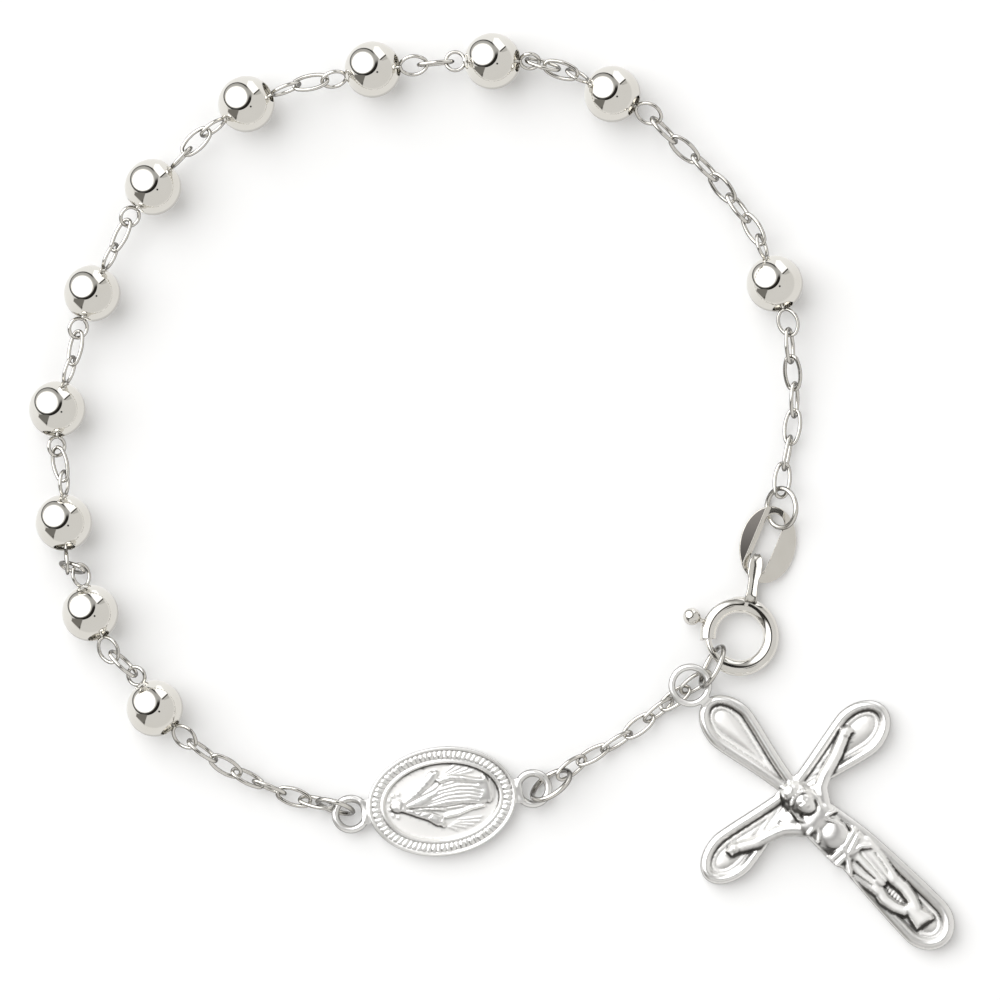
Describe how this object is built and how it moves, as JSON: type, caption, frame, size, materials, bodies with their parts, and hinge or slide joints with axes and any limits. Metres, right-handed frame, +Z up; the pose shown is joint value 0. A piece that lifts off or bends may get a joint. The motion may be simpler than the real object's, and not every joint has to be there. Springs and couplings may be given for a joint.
{
  "type": "rosary bracelet",
  "caption": "Silver rosary bracelet: round beads on eye pins and oval cable chain, an oval medal, a hanging crucifix and a spring ring clasp, laid out open and fastened.",
  "frame": {"origin": "middle of the bounding box of the laid-out bracelet, on the surface it lies on", "axes": "+Z up from the surface, +Y from the medal across the loop to the far beads, +X from the beads on the left to the clasp"},
  "size_m": [0.0738, 0.0736, 0.0045],
  "materials": {
    "polished_beads": "hollow silver beads polished to a mirror",
    "silver_wire": "bright drawn silver wire",
    "cast_silver": "cast silver, relief burnished, hollows a little darker",
    "polished_clasp": "polished silver tube and ball",
    "pressed_sheet": "pressed silver sheet, polished"
  },
  "bodies": {
    "bracelet": {"bead_01": "polished_beads", "bead_02": "polished_beads", "bead_03": "polished_beads", "bead_04": "polished_beads", "bead_05": "polished_beads", "bead_06": "polished_beads", "bead_07": "polished_beads", "bead_08": "polished_beads", "bead_09": "polished_beads", "bead_10": "polished_beads", "bead_11": "polished_beads", "eye_pin_01": "silver_wire", "eye_pin_02": "silver_wire", "eye_pin_03": "silver_wire", "eye_pin_04": "silver_wire", "eye_pin_05": "silver_wire", "eye_pin_06": "silver_wire", "eye_pin_07": "silver_wire", "eye_pin_08": "silver_wire", "eye_pin_09": "silver_wire", "eye_pin_10": "silver_wire", "eye_pin_11": "silver_wire", "chain_medal_bead_01": "silver_wire", "chain_bead_01_02": "silver_wire", "chain_bead_02_03": "silver_wire", "chain_bead_03_04": "silver_wire", "chain_bead_04_05": "silver_wire", "chain_bead_05_06": "silver_wire", "chain_bead_06_07": "silver_wire", "chain_bead_07_08": "silver_wire", "chain_bead_08_09": "silver_wire", "chain_bead_09_10": "silver_wire", "chain_bead_10_11": "silver_wire", "chain_bead_11_tag": "silver_wire", "chain_medal_clasp": "silver_wire", "medal": "cast_silver", "crucifix": "cast_silver", "clasp_ring": "polished_clasp", "end_tag": "pressed_sheet", "jump_ring_clasp": "silver_wire", "jump_ring_tag": "silver_wire", "jump_ring_medal_right": "silver_wire", "jump_ring_medal_left": "silver_wire"},
    "clasp_lever": {"clasp_lever": "polished_clasp"}
  },
  "joints": [
    {"name": "clasp_lever_slide", "type": "hinge", "parent": "bracelet", "child": "clasp_lever", "pos_m": [0.01981, -0.01134, 0.00095], "axis": [0.1055, 0.0609, 0.9926], "range_deg": [-46, 0], "stiffness_Nm_per_rad": 0.0001}
  ]
}
